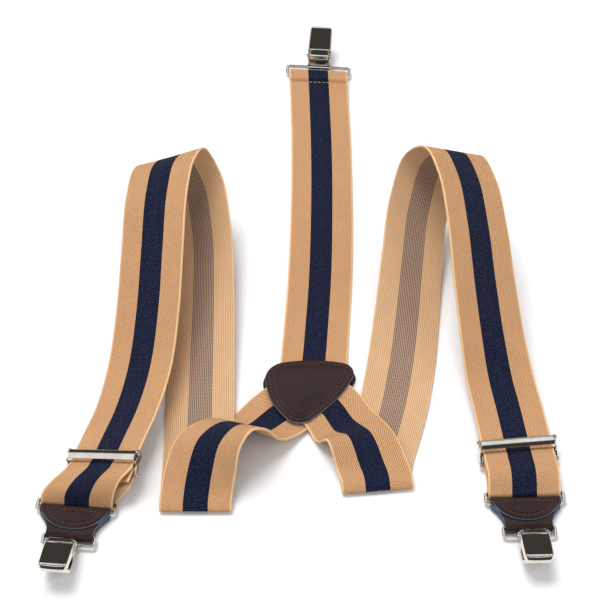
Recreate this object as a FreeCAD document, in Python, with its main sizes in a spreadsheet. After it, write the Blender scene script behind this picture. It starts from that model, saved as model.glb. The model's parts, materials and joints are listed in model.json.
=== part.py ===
import FreeCAD, Part
import math
import os
import Sketcher
from FreeCAD import Placement, Rotation, Vector

# A pair of Y-back clip suspenders, laid on a table: one back strap and two front straps of
# elastic webbing that meet under a leather patch, two leather tabs, and nickel hardware.
# Millimetres, +Z up, the back clip towards +Y and the two front clips towards -Y.

os.makedirs("parts", exist_ok=True)
doc = FreeCAD.newDocument("suspenders")
sheet = doc.addObject("Spreadsheet::Sheet", "Dims")

SIZES = [
    # webbing
    ("web_width", 35.0), ("web_thick", 1.4), ("web_gap", 0.25),
    # where the layout's origin sits in the finished frame, so that its box is centred
    ("shift_x", -1.0), ("shift_y", -14.3), ("shift_z", 0.0),
    # leather: thickness of one layer, patch, tab
    ("hide", 1.4), ("patch_thick", 1.3), ("patch_width", 45.0), ("patch_depth", 42.4),
    ("back_patch_grow", 1.2),
    ("tab_wide", 33.6), ("tab_neck", 22.6), ("flap_drop", 12.4),
    # wire rings
    ("ring_wire", 1.0), ("ring_span", 37.6), ("ring_rise", 5.8), ("ring_corner", 1.4),
    ("back_ring_rise", 6.6), ("small_wire", 0.9), ("small_span", 24.6), ("small_rise", 5.2),
    ("small_corner", 1.2), ("bar_height", 3.0), ("tab_pitch", 15.0),
    # clip
    ("clip_pitch", 16.0), ("slid_left", -2.0), ("slid_right", 0.9),
    ("clip_half", 6.7), ("sheet_metal", 0.8), ("eye_gap", 0.25),
    ("base_length", 18.8), ("cheek_thick", 0.7), ("pin_x", 5.0), ("pin_z", 5.0), ("pin_rad", 0.8),
    ("pin_head", 1.35), ("knuckle_rad", 2.3), ("lever_half", 6.9), ("lever_length", 21.4),
    ("jaw_x", 6.0), ("jaw_z", 1.5), ("jaw_length", 13.3), ("jaw_half", 5.6), ("stub_rad", 0.6),
    # adjuster
    ("frame_half", 19.1), ("frame_depth", 6.0), ("plate_depth", 5.0), ("hinge_x", -2.6),
    ("hinge_z", 2.3), ("hinge_rad", 0.7), ("tail_x", 6.0), ("tail_z", -3.6), ("tail_rad", 0.8),
]
for row, (alias, value) in enumerate(SIZES, start=1):
    sheet.set("A%d" % row, alias.replace("_", " "))
    sheet.set("B%d" % row, "%g" % value)
    sheet.setAlias("B%d" % row, alias)
doc.recompute()


def size(alias):
    return float(sheet.get(alias))


NODES = []


def keep(obj, label, placement):
    """Name a finished sub-part and put it where it belongs."""
    obj.Label = label
    obj.Placement = placement
    NODES.append(obj)
    return obj


# ---------------------------------------------------------------- places

SHIFT = Vector(size("shift_x"), size("shift_y"), size("shift_z"))


def place(x, y, z, yaw, pitch=0.0, roll=0.0):
    """A local frame: x along the strap's end, y across it, z up from its face."""
    turn = (Rotation(Vector(0, 0, 1), yaw) * Rotation(Vector(0, 1, 0), pitch)
            * Rotation(Vector(1, 0, 0), roll))
    return Placement(SHIFT + Vector(x, y, z), turn)


BAR = size("bar_height")
# the wire bar that each strap is folded round, and the way that strap's end points
ENDS = {
    "back": place(10.9, 190.6, BAR, 85.5),
    "left": place(-107.0, -140.4, BAR, -95.5),
    "right": place(108.2, -134.9, BAR, -88.5),
}
# the slide adjusters, on the straight run of each front strap
ADJUSTERS = {
    "left": place(-95.3, -121.0, 11.7, -106.0, 0.0, 16.0),
    "right": place(106.8, -109.5, 7.3, -84.0, 0.0, 0.0),
}
# strap routes: centre x, y, z, then which way the width points: plan angle and tilt, degrees
LEFT_ROUTE = [
    (-3.0, -76.0, 2.15, -44, 0),      # butted end, between the leather patches
    (-10.5, -83.5, 2.4, -40, 0),
    (-22.5, -97.3, 6.2, -38, 15),     # dip beside the patch
    (-29.3, -102.8, 16.8, -36, 23),
    (-36.5, -110.3, 23.5, -35, 24),   # crest over the under layer
    (-43.5, -118.0, 22.0, -27, 13),
    (-47.8, -128.0, 13.5, -13, 3),
    (-49.8, -137.2, 6.2, -3, 0),
    (-50.2, -142.4, 4.7, 0, 0),
    (-50.2, -145.2, 2.85, 0, 0),      # front fold, on the table
    (-50.2, -142.4, 1.0, 0, 0),
    (-50.2, -137.5, 0.95, 0, 0),
    (-50.1, -122.0, 1.2, 0, 0),
    (-50.2, -90.0, 2.0, 0, 3),        # under layer, its inner edge lifting
    (-50.6, -50.0, 4.6, 0, 11),
    (-51.0, -5.0, 8.4, 0, 21),
    (-53.0, 38.0, 15.0, -1, 28),
    (-58.0, 61.5, 26.0, 0, 28),
    (-66.5, 66.0, 42.5, 0, 25),       # back of the arch
    (-72.6, 49.5, 53.0, -6, 17),      # top of the arch
    (-75.4, 27.5, 51.6, -8, 16),
    (-76.6, -3.0, 41.0, -9, 16),
    (-78.0, -33.0, 26.5, -10, 14),
    (-81.0, -62.0, 15.0, -13, 13),
    (-87.0, -92.2, 11.7, -16, 16),    # straight run that carries the adjuster
    (-91.2, -106.6, 11.7, -16, 16),
    (-96.2, -124.1, 11.7, -16, 16),
    (-96.7, -125.8, 11.7, -16, 16),
    (-100.0, -131.8, 13.0, -13, 15),
    (-103.2, -135.6, 12.4, -9, 11),   # last bulge before the ring
    (-105.7, -138.8, 9.9, -7, 5),
    (-106.9, -140.7, 7.0, -6, 0),
]
RIGHT_ROUTE = [
    (8.5, -73.0, 4.0, 45, 0),        # butted end, between the leather patches
    (15.2, -80.3, 4.0, 42, 0),
    (22.3, -92.8, 3.5, 35, 1),        # dip beside the patch
    (26.0, -99.3, 7.8, 28, -5),
    (29.2, -104.5, 11.0, 21, -10),    # low crest
    (31.8, -110.2, 9.4, 18, -6),
    (34.5, -118.0, 6.3, 14, 0),
    (37.1, -126.5, 5.1, 8, 0),
    (37.5, -130.2, 4.7, 6, 0),
    (37.75, -132.6, 2.85, 6, 0),      # front fold, on the table
    (37.5, -130.2, 1.0, 6, 0),
    (37.2, -126.0, 0.95, 5, 0),
    (38.2, -116.0, 1.2, 3, 0),
    (41.6, -101.0, 1.5, -2, 1),
    (46.9, -79.0, 1.5, -7, 1),
    (52.1, -50.0, 2.4, -7, -4),
    (56.3, -18.0, 6.0, -4, -14),
    (60.3, 18.0, 12.5, -2, -21),
    (64.8, 49.0, 23.0, -1, -24),
    (71.8, 65.5, 38.4, 4, -26),       # back of the arch
    (81.5, 59.0, 54.0, 13, -22),      # top of the arch
    (88.2, 37.5, 55.8, 14, -20),
    (92.3, 10.0, 47.5, 14, -18),
    (95.2, -20.0, 33.0, 13, -14),
    (98.6, -48.0, 18.5, 11, -9),
    (101.7, -68.0, 9.2, 7, -2),
    (103.8, -81.0, 7.3, 6, 0),        # straight run that carries the adjuster
    (105.7, -99.0, 7.3, 6, 0),
    (107.5, -116.1, 7.3, 6, 0),
    (108.2, -127.5, 9.0, 5, 0),       # last bulge before the ring
    (108.3, -132.9, 6.5, 3, 0),
]
BACK_ROUTE = [
    (6.6, -57.6, 2.15, 184, 0),       # butted end, between the leather patches
    (7.15, -47.6, 2.1, 184, 0),
    (7.9, -36.0, 1.1, 184, 0),
    (8.5, -26.0, 0.95, 184, 0),
    (10.6, 10.0, 0.85, 183, 0),
    (12.2, 70.0, 0.85, 181, 0),
    (12.4, 125.0, 0.85, 179, 0),
    (11.5, 172.0, 2.2, 177, 0),
    (11.1, 185.0, 4.6, 176, 0),
]


def route_frames(stations, step):
    """Walk a smooth curve through the stations; give each point its centre, tangent, width and
    face directions."""
    pts = [Vector(s[0], s[1], s[2]) + SHIFT for s in stations]
    wide = [Vector(math.cos(math.radians(s[3])) * math.cos(math.radians(s[4])),
                   math.sin(math.radians(s[3])) * math.cos(math.radians(s[4])),
                   math.sin(math.radians(s[4]))) for s in stations]
    gaps = [(b - a).Length for a, b in zip(pts, pts[1:])]

    def slopes(vals):
        inner = [((vals[i] - vals[i - 1]) * (gaps[i] / gaps[i - 1])
                  + (vals[i + 1] - vals[i]) * (gaps[i - 1] / gaps[i])) * (1 / (gaps[i - 1] + gaps[i]))
                 for i in range(1, len(vals) - 1)]
        return ([(vals[1] - vals[0]) * (1 / gaps[0])] + inner
                + [(vals[-1] - vals[-2]) * (1 / gaps[-1])])

    def cubic(vals, rates, i, u):
        return (vals[i] * (1 - 3 * u * u + 2 * u ** 3) + vals[i + 1] * (3 * u * u - 2 * u ** 3)
                + rates[i] * gaps[i] * (u - 2 * u * u + u ** 3)
                + rates[i + 1] * gaps[i] * (u ** 3 - u * u))

    pt_rates, wide_rates = slopes(pts), slopes(wide)
    frames = []
    for i, gap in enumerate(gaps):
        count = max(2, int(round(gap / (step if gap > 4.5 else step / 6))))
        for k in range(count + (i == len(gaps) - 1)):
            u = k / count
            d = 0.01
            lo, hi = max(0.0, u - d), min(1.0, u + d)
            centre = cubic(pts, pt_rates, i, u)
            tangent = cubic(pts, pt_rates, i, hi) - cubic(pts, pt_rates, i, lo)
            tangent.normalize()
            width = cubic(wide, wide_rates, i, u)
            width.normalize()
            face = tangent.cross(width)
            face.normalize()
            frames.append((centre, tangent, width, face))
    return frames


def wrap_frames(end, radius, start, stop, count=16):
    """The webbing's turn round a wire bar: from angle start to angle stop, over the top."""
    frames = []
    across = end.Rotation.multVec(Vector(0, 1, 0))
    for k in range(count + 1):
        a = math.radians(start + (stop - start) * k / count)
        out = end.Rotation.multVec(Vector(math.cos(a), 0, math.sin(a)))
        run = end.Rotation.multVec(Vector(math.sin(a), 0, -math.cos(a)))
        frames.append((end.Base + out * radius, run, across, out))
    return frames


def line_frames(first, last, count):
    """A straight run of webbing between two frames, turning gently from one to the other."""
    frames = []
    run = last[0] - first[0]
    run.normalize()
    for k in range(1, count):
        u = k / count
        width = first[2] * (1 - u) + last[2] * u
        width.normalize()
        face = run.cross(width)
        face.normalize()
        frames.append((first[0] * (1 - u) + last[0] * u, run, width, face))
    return frames


def ribbon(name, frames):
    """A closed strip of webbing: one ruled skin through a rectangle at every frame."""
    half_w, half_t = size("web_width") / 2, size("web_thick") / 2
    wires = []
    for centre, _, width, face in frames:
        corners = [centre + width * (half_w * a) + face * (half_t * b)
                   for a, b in ((1, 1), (-1, 1), (-1, -1), (1, -1))]
        wires.append(Part.makePolygon(corners + corners[:1]))
    strip = doc.addObject("Part::Feature", name)
    skin = Part.makeLoft(wires, True, True)
    strip.Shape = skin if skin.Volume > 0 else skin.reversed()
    return strip


WRAP = size("ring_wire") + size("web_gap") + size("web_thick") / 2


def tail_end(side):
    """Where the tail of a front strap stops, just short of its sewn hem on the adjuster."""
    here = ADJUSTERS[side]
    spot = Vector(size("tail_x") + 7.2, 0, size("tail_z") - 1.65)
    return (here.multVec(spot), here.Rotation.multVec(Vector(-1, 0, 0)),
            here.Rotation.multVec(Vector(0, 1, 0)), here.Rotation.multVec(Vector(0, 0, -1)))


for side, route, start, stop in (("left", LEFT_ROUTE, 30, -130), ("right", RIGHT_ROUTE, 65, -90)):
    down = route_frames(route, 6.0)
    turn = wrap_frames(ENDS[side], WRAP, start, stop)
    tail = tail_end(side)
    frames = down + turn + line_frames(turn[-1], tail, 4) + [tail]
    keep(ribbon(side + "_strap_webbing", frames), side + "_strap", Placement())

frames = route_frames(BACK_ROUTE, 6.0)
turn = wrap_frames(ENDS["back"], WRAP, 90, -90)
hem_back = turn[-1][0] + ENDS["back"].Rotation.multVec(Vector(-11, -1.1, 0))
frames += turn + [(hem_back, turn[-1][1], turn[-1][2], turn[-1][3])]
keep(ribbon("back_strap_webbing", frames), "back_strap", Placement())


# ---------------------------------------------------------------- sketch helpers

def plane(body, role):
    return next(f for f in body.Origin.OriginFeatures if f.Role == role)


def sketch(body, name, role, offset=0.0):
    sk = body.newObject("Sketcher::SketchObject", name)
    sk.AttachmentSupport = [(plane(body, role), "")]
    sk.MapMode = "FlatFace"
    sk.AttachmentOffset = Placement(Vector(0, 0, offset), Rotation())
    return sk


def outline(sk, start, steps):
    """Closed outline of lines (x, y) and three-point arcs ((mid x, mid y), (x, y))."""
    at = Vector(start[0], start[1], 0)
    first = sk.GeometryCount
    for step in steps:
        if isinstance(step[0], tuple):
            mid, to = (Vector(p[0], p[1], 0) for p in step)
            edge = Part.Arc(at, mid, to)
            sk.addGeometry(edge, False)
        else:
            to = Vector(step[0], step[1], 0)
            sk.addGeometry(Part.LineSegment(at, to), False)
        at = to
    return first


def circle(sk, x, y, radius_alias, extra=0.0):
    index = sk.addGeometry(Part.Circle(Vector(x, y, 0), Vector(0, 0, 1), size(radius_alias) + extra), False)
    sk.addConstraint(Sketcher.Constraint("Radius", index, size(radius_alias) + extra))
    sk.setExpression("Constraints[%d]" % (sk.ConstraintCount - 1), "Dims.%s + %g" % (radius_alias, extra))


def pad(body, sk, name, length_expression, both=True):
    feature = body.newObject("PartDesign::Pad", name)
    feature.Profile = sk
    if both:
        feature.SideType = "Symmetric"
    feature.setExpression("Length", length_expression)
    body.Tip = feature
    return feature


def pocket(body, sk, name, length_expression):
    feature = body.newObject("PartDesign::Pocket", name)
    feature.Profile = sk
    feature.SideType = "Symmetric"
    feature.setExpression("Length", length_expression)
    body.Tip = feature
    return feature


def new_body(name):
    return doc.addObject("PartDesign::Body", name)


def part(kind, name, bindings):
    """A Part primitive with its sizes bound to the sheet."""
    obj = doc.addObject("Part::" + kind, name)
    for prop, expression in bindings.items():
        obj.setExpression(prop, expression)
    return obj


def box(name, length, width, height, x, z, y=None):
    """Box centred across y (or starting at y), sizes as sheet expressions."""
    return part("Box", name, {
        "Length": length, "Width": width, "Height": height, "Placement.Base.x": x,
        "Placement.Base.y": "-(%s) / 2" % width if y is None else y, "Placement.Base.z": z})


def rod(name, radius, length, x, z):
    """Round bar lying across y, centred."""
    bar = part("Cylinder", name, {"Radius": radius, "Height": length, "Placement.Base.x": x,
                                  "Placement.Base.y": "(%s) / 2" % length, "Placement.Base.z": z})
    bar.Placement = Placement(Vector(), Rotation(Vector(1, 0, 0), 90))
    return bar


def fuse(name, shapes):
    obj = doc.addObject("Part::MultiFuse", name)
    obj.Shapes = shapes
    obj.Refine = True
    return obj


def cut(name, base, tools):
    obj = doc.addObject("Part::Cut", name)
    obj.Base = base
    obj.Tool = tools[0] if len(tools) == 1 else fuse(name + "_tools", tools)
    return obj


def turned_pin(name, radius, head, half, head_depth):
    """Plain pin across y with a crowned head at each end, turned about its own axis."""
    body = new_body(name)
    sk = sketch(body, name + "_profile", "YZ_Plane")
    r, c, e = size(radius), head, half + head_depth
    outline(sk, (-e, 0), [(-e, c * 0.4), ((-half - head_depth * 0.7, c * 0.8), (-half, c)), (-half, r),
                          (half, r), (half, c), ((half + head_depth * 0.7, c * 0.8), (e, c * 0.4)),
                          (e, 0), (-e, 0)])
    turned = body.newObject("PartDesign::Revolution", name + "_turned")
    turned.Profile = sk
    turned.ReferenceAxis = (sk, ["H_Axis"])
    turned.Angle = 360
    body.Tip = turned
    return body


def wire_ring(name, rise, span, corner, wire):
    """A rounded rectangle of round wire; its first bar lies across y at the origin."""
    body = new_body(name)
    path = sketch(body, name + "_path", "XY_Plane")
    x, y, r = size(rise), size(span) / 2, size(corner)
    k = r * (1 - math.sqrt(0.5))
    outline(path, (0, 0), [(0, y - r), ((k, y - k), (r, y)), (x - r, y), ((x - k, y - k), (x, y - r)),
                           (x, r - y), ((x - k, k - y), (x - r, -y)), (r, -y), ((k, k - y), (0, r - y)),
                           (0, 0)])
    profile = sketch(body, name + "_section", "XZ_Plane")
    circle(profile, 0, 0, wire)
    doc.recompute()
    pipe = body.newObject("PartDesign::AdditivePipe", name + "_wire")
    pipe.Profile = profile
    pipe.Spine = (path, ["Edge%d" % (i + 1) for i in range(path.GeometryCount)])
    body.Tip = pipe
    return body


# ---------------------------------------------------------------- leather patch

def patch(name, grow, base_z, label):
    """A rounded shield of leather, its bowed side towards the back strap, its tip a little to
    the left where the two front straps part."""
    body = new_body(name)
    sk = sketch(body, name + "_outline", "XY_Plane")
    wide, deep = size("patch_width") + 2 * grow, size("patch_depth") + 2 * grow

    def at(x, y):
        return (x * wide, grow + y * deep)

    outline(sk, at(-0.34, -0.04), [
        (at(0.0, 0.0), at(0.34, -0.04)), (at(0.455, -0.12), at(0.455, -0.29)),
        (at(0.28, -0.62), at(0.03, -0.90)), (at(-0.14, -1.0), at(-0.30, -0.905)),
        (at(-0.44, -0.68), at(-0.515, -0.37)), (at(-0.485, -0.15), at(-0.34, -0.04))])
    pad(body, sk, name + "_pad", "Dims.patch_thick", both=False)
    return keep(body, label, Placement(SHIFT + Vector(6.0, -49.8, base_z), Rotation()))


patch("Patch_front", 0.0, 4.9, "patch_front")
patch("Patch_back", size("back_patch_grow"), 0.0, "patch_back")


# ---------------------------------------------------------------- leather tab of a front strap

def tab(side):
    """One strip of leather folded round both rings: a wide D-shaped flap over an hourglass neck.
    Origin on the strap ring's lower bar."""
    name = side.capitalize() + "_tab"
    pitch, hide = size("tab_pitch"), size("hide")
    loop = size("ring_wire") + 0.3 + hide
    small = size("small_wire") + 0.3 + hide
    body = new_body(name)
    side_view = sketch(body, name + "_side", "XZ_Plane")
    outline(side_view, (0, loop), [
        ((pitch * 0.5, loop - 0.55), (pitch, small)),
        ((pitch + small, 0), (pitch, -small)),
        ((pitch * 0.5, -loop + 0.35), (0, -loop)),
        ((-loop, 0), (0, loop))])
    pad(body, side_view, name + "_strip", "Dims.tab_wide")
    wide, neck = size("tab_wide") / 2, size("tab_neck") / 2
    waist = sketch(body, name + "_waist", "XY_Plane")
    for s in (1, -1):
        outline(waist, (2.2, s * (wide + 1)), [
            (2.2, s * wide), ((pitch * 0.55, s * (neck + 2.6)), (pitch - 1.6, s * neck)),
            (pitch + small + 1, s * (neck - 0.2)), (pitch + small + 1, s * (wide + 1)),
            (2.2, s * (wide + 1))])
    pocket(body, waist, name + "_waist_cut", "Dims.tab_pitch")
    flap = sketch(body, name + "_flap", "XY_Plane", loop - hide - 0.1)
    drop = size("flap_drop")
    outline(flap, (0, wide), [((drop * 0.62, wide * 0.72), (drop, 0)), ((drop * 0.62, -wide * 0.72), (0, -wide)),
                              (0, wide)])
    pad(body, flap, name + "_flap_pad", "Dims.hide", both=False)
    holes = sketch(body, name + "_bores", "XZ_Plane")
    circle(holes, 0, 0, "ring_wire", 0.25)
    circle(holes, pitch, 0, "small_wire", 0.25)
    pocket(body, holes, name + "_bores_cut", "Dims.tab_wide * 1.5")
    return body


# ---------------------------------------------------------------- clip

def clip_base(name):
    """Sheet-metal base: floor, eye rolled round the wire, front lip and two cheeks."""
    eye = "Dims.small_wire + Dims.eye_gap"
    skin = "Dims.sheet_metal"
    outer = "(%s + %s)" % (eye, skin)
    floor = box(name + "_floor", "Dims.base_length", "2 * Dims.clip_half", skin, "0", "-" + outer)
    roll = rod(name + "_roll", outer, "2 * Dims.clip_half", "0", "0")
    leaf = box(name + "_leaf", "4.0", "2 * Dims.clip_half", skin, "0", eye)
    lip = box(name + "_lip", skin, "2 * Dims.clip_half", "2.1", "Dims.base_length - " + skin, "-" + outer)
    solids = [floor, roll, leaf, lip]
    for tag, y in (("a", "-Dims.clip_half"), ("b", "Dims.clip_half - Dims.cheek_thick")):
        solids.append(box(name + "_foot_" + tag, "5.8", "Dims.cheek_thick", "4.6", "4.7", "-" + outer, y))
        solids.append(box(name + "_neck_" + tag, "4.0", "Dims.cheek_thick", "Dims.pin_z + " + outer,
                          "Dims.pin_x - 2", "-" + outer, y))
        ear = rod(name + "_ear_" + tag, "2.0", "Dims.cheek_thick", "Dims.pin_x", "Dims.pin_z")
        ear.setExpression("Placement.Base.y", y + " + Dims.cheek_thick")
        solids.append(ear)
    holes = [rod(name + "_bore", eye, "4 * Dims.clip_half", "0", "0"),
             rod(name + "_pin_hole", "Dims.pin_rad + 0.02", "4 * Dims.clip_half", "Dims.pin_x", "Dims.pin_z"),
             rod(name + "_stub_hole", "Dims.stub_rad + 0.08", "4 * Dims.clip_half", "Dims.jaw_x", "Dims.jaw_z"),
             part("Cylinder", name + "_eyelet", {"Radius": "0.5", "Height": "4", "Placement.Base.x": "2.2",
                                                 "Placement.Base.z": "0"})]
    return cut(name, fuse(name + "_sheet", solids), holes)


def clip_lever(name):
    """Lever: a knuckle round the pin with a cam lobe, a long plate with side rims, a turned tip.
    Origin on the pin's axis."""
    body = new_body(name)
    knuckle, long = size("knuckle_rad"), size("lever_length")
    side_view = sketch(body, name + "_side", "XZ_Plane")
    outline(side_view, (0, knuckle), [
        ((long * 0.55, knuckle + 0.35), (long - 1.6, knuckle - 0.35)),
        ((long - 0.35, knuckle - 0.95), (long, knuckle - 2.6)), (long - 0.8, knuckle - 2.6),
        ((long - 1.1, knuckle - 1.6), (long - 2.0, knuckle - 1.15)),
        ((long * 0.55, knuckle - 0.45), (3.0, knuckle - 0.8)),
        ((knuckle * 0.86, -knuckle * 0.5), (0.9, -2.8)), (-0.5, -2.75), (-1.2, -knuckle * 0.85),
        ((-knuckle, 0.2), (0, knuckle))])
    circle(side_view, 0, 0, "pin_rad", 0.06)
    pad(body, side_view, name + "_plate", "2 * Dims.lever_half")
    relief = sketch(body, name + "_relief", "XY_Plane")
    inside = size("clip_half") - size("cheek_thick") - 0.35
    for s in (1, -1):
        outline(relief, (-4, s * 9), [(-4, s * inside), (2.9, s * inside), (2.9, s * 9), (-4, s * 9)])
    pocket(body, relief, name + "_relief_cut", "20")
    for s in (1, -1):
        rim = sketch(body, name + ("_rim_a" if s > 0 else "_rim_b"), "XZ_Plane",
                     s * (size("lever_half") - 0.35))
        outline(rim, (3.3, knuckle - 0.4), [(3.6, -0.6), (long - 0.8, 0.1), (long - 0.3, knuckle - 1.6),
                                            ((long * 0.55, knuckle - 0.1), (3.3, knuckle - 0.4))])
        pad(body, rim, name + ("_rim_pad_a" if s > 0 else "_rim_pad_b"), "0.7")
    return body


def clip_jaw(name):
    """Upper jaw: flat plate with two hinge stubs and a lip that meets the base. Origin on its
    hinge axis."""
    thin = "Dims.sheet_metal - 0.1"
    plate = box(name + "_plate", "Dims.jaw_length", "2 * Dims.jaw_half", thin, "0", "-0.35")
    lip = box(name + "_lip", thin, "2 * Dims.jaw_half", "1.3", "Dims.jaw_length - " + thin, "-1.25")
    stubs = rod(name + "_stubs", "Dims.stub_rad", "2 * Dims.clip_half", "0", "0")
    return fuse(name, [plate, lip, stubs])


def clip_pad(name):
    """Grip insert under the upper jaw, with cross ribs."""
    slab = box(name + "_slab", "6.0", "2 * Dims.jaw_half - 1.6", "0.7", "6.2", "-1.05")
    ribs = [rod("%s_rib%d" % (name, i), "0.35", "2 * Dims.jaw_half - 1.6", "%g" % (7.0 + 1.1 * i), "-1.05")
            for i in range(5)]
    return fuse(name, [slab] + ribs)


CLIP_AT = {"back": size("back_ring_rise"),
           "left": size("ring_rise") + size("tab_pitch") + size("small_rise"),
           "right": size("ring_rise") + size("tab_pitch") + size("small_rise")}
# how far each clip has slid along its wire
CLIP_SLID = {"back": 0.0, "left": size("slid_left"), "right": size("slid_right")}
PITCHED = Placement(Vector(), Rotation(Vector(0, 1, 0), -size("clip_pitch")))


def along(x, z=0.0, y=0.0):
    return Placement(Vector(x, y, z), Rotation())


for side, end in ENDS.items():
    big = side.capitalize()
    here = end * along(CLIP_AT[side], y=CLIP_SLID[side]) * PITCHED
    pin_place = here * along(size("pin_x"), size("pin_z"))
    jaw_place = here * along(size("jaw_x"), size("jaw_z"))
    keep(clip_base(big + "_base"), side + "_clip_base", here)
    keep(clip_lever(big + "_lever"), side + "_clip_lever", pin_place)
    keep(clip_jaw(big + "_jaw"), side + "_clip_jaw", jaw_place)
    keep(clip_pad(big + "_pad"), side + "_clip_pad", jaw_place)
    keep(turned_pin(big + "_pin", "pin_rad", size("pin_head"), size("clip_half") + 0.05, 0.9),
         side + "_clip_pin", pin_place)

keep(wire_ring("Back_ring", "back_ring_rise", "ring_span", "ring_corner", "ring_wire"),
     "back_ring", ENDS["back"])


# ---------------------------------------------------------------- front ends and adjusters

def adjuster_frame(name):
    """Folded frame: a floor under the webbing and a cheek at each edge of it."""
    floor = box(name + "_floor", "Dims.frame_depth", "2 * Dims.frame_half", "0.8",
                "-Dims.frame_depth / 2", "-1.9")
    solids = [floor]
    for tag, y in (("a", "-Dims.frame_half"), ("b", "Dims.frame_half - 0.8")):
        solids.append(box(name + "_cheek_" + tag, "Dims.frame_depth + 0.8", "0.8", "3.6",
                          "-Dims.frame_depth / 2 - 0.8", "-1.9", y))
        for end_tag, radius, x, z in (("hinge", "1.5", "Dims.hinge_x", "Dims.hinge_z"),
                                      ("tail", "1.6", "Dims.tail_x", "Dims.tail_z")):
            ear = rod(name + "_%s_%s" % (end_tag, tag), radius, "0.8", x, z)
            ear.setExpression("Placement.Base.y", y + " + 0.8")
            solids.append(ear)
        arm = box(name + "_arm_" + tag, "6.2", "0.8", "2.4", "1.2", "-2.6", y)
        arm.Placement = Placement(Vector(), Rotation(Vector(0, 1, 0), 26))
        post = box(name + "_post_" + tag, "2.4", "0.8", "2.6", "Dims.hinge_x - 1.2", "Dims.hinge_z - 2.6", y)
        solids += [arm, post]
    holes = [rod(name + "_hinge_hole", "Dims.hinge_rad + 0.02", "3 * Dims.frame_half", "Dims.hinge_x",
                 "Dims.hinge_z"),
             rod(name + "_tail_hole", "Dims.tail_rad + 0.02", "3 * Dims.frame_half", "Dims.tail_x",
                 "Dims.tail_z")]
    return cut(name, fuse(name + "_sheet", solids), holes)


def adjuster_lever(name):
    """Front plate that bites the webbing: knuckle, gently bowed plate, toothed edge. Origin on
    its hinge axis."""
    body = new_body(name)
    side_view = sketch(body, name + "_side", "XZ_Plane")
    deep = size("plate_depth")
    outline(side_view, (0, 1.15), [((deep * 0.5, 1.35), (deep, 0.75)), (deep + 0.25, -1.2), (deep - 0.5, -1.2),
                                   (deep - 0.7, 0.1), ((deep * 0.5, 0.55), (1.0, 0.35)),
                                   ((0.55, -0.95), (-0.6, -0.98)), ((-1.15, 0.1), (0, 1.15))])
    circle(side_view, 0, 0, "hinge_rad", 0.06)
    pad(body, side_view, name + "_plate", "2 * Dims.frame_half - 2.2")
    teeth = sketch(body, name + "_teeth", "YZ_Plane")
    half = size("frame_half") - 1.1
    for i in range(12):
        y = -half + 1.4 + i * (2 * half - 2.8) / 11
        outline(teeth, (y - 0.8, -1.6), [(y, -0.55), (y + 0.8, -1.6), (y - 0.8, -1.6)])
    bite = body.newObject("PartDesign::Pocket", name + "_teeth_cut")
    bite.Profile = teeth
    bite.SideType = "Symmetric"
    bite.setExpression("Length", "4 * Dims.plate_depth")
    body.Tip = bite
    return body


def tail_hem(name):
    """The tail's own end, turned round the bar and sewn down."""
    inner, outer = "Dims.tail_rad + 0.15", "(Dims.tail_rad + 0.15 + Dims.web_thick)"
    loop = rod(name + "_loop", outer, "Dims.web_width - 0.6", "0", "0")
    stub = box(name + "_stub", "6.8", "Dims.web_width - 0.6", "Dims.web_thick + 0.4", "0", "-" + outer)
    return cut(name, fuse(name + "_web", [loop, stub]), [rod(name + "_bore", inner, "2 * Dims.web_width", "0", "0")])


for side in ("left", "right"):
    big = side.capitalize()
    end, slide = ENDS[side], ADJUSTERS[side]
    keep(wire_ring(big + "_strap_ring", "ring_rise", "ring_span", "ring_corner", "ring_wire"),
         side + "_strap_ring", end)
    keep(tab(side), side + "_tab_leather", end * along(size("ring_rise")))
    keep(wire_ring(big + "_clip_ring", "small_rise", "small_span", "small_corner", "small_wire"),
         side + "_clip_ring", end * along(size("ring_rise") + size("tab_pitch")))
    keep(adjuster_frame(big + "_frame"), side + "_adjuster_frame", slide)
    keep(adjuster_lever(big + "_bite"), side + "_adjuster_lever",
         slide * along(size("hinge_x"), size("hinge_z")))
    keep(turned_pin(big + "_hinge", "hinge_rad", 1.15, size("frame_half") + 0.05, 0.8),
         side + "_adjuster_pin", slide * along(size("hinge_x"), size("hinge_z")))
    tail_at = slide * along(size("tail_x"), size("tail_z"))
    keep(turned_pin(big + "_tail_bar", "tail_rad", 1.25, size("frame_half") + 0.05, 0.7),
         side + "_tail_bar", tail_at)
    keep(tail_hem(big + "_hem"), side + "_tail_hem", tail_at)


# ---------------------------------------------------------------- check and write

doc.recompute()
for obj in doc.Objects:
    if any(flag in obj.State for flag in ("Invalid", "Error")):
        raise RuntimeError("%s did not build: %s" % (obj.Name, obj.State))
for node in NODES:
    shape = node.Shape
    if shape.isNull() or not shape.isValid() or shape.Volume <= 0 or len(shape.Solids) != 1:
        raise RuntimeError("%s is not one valid solid (%d solids)" % (node.Label, len(shape.Solids)))
    shape.exportStep("parts/%s.step" % node.Label)
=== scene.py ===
import json
import math

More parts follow.
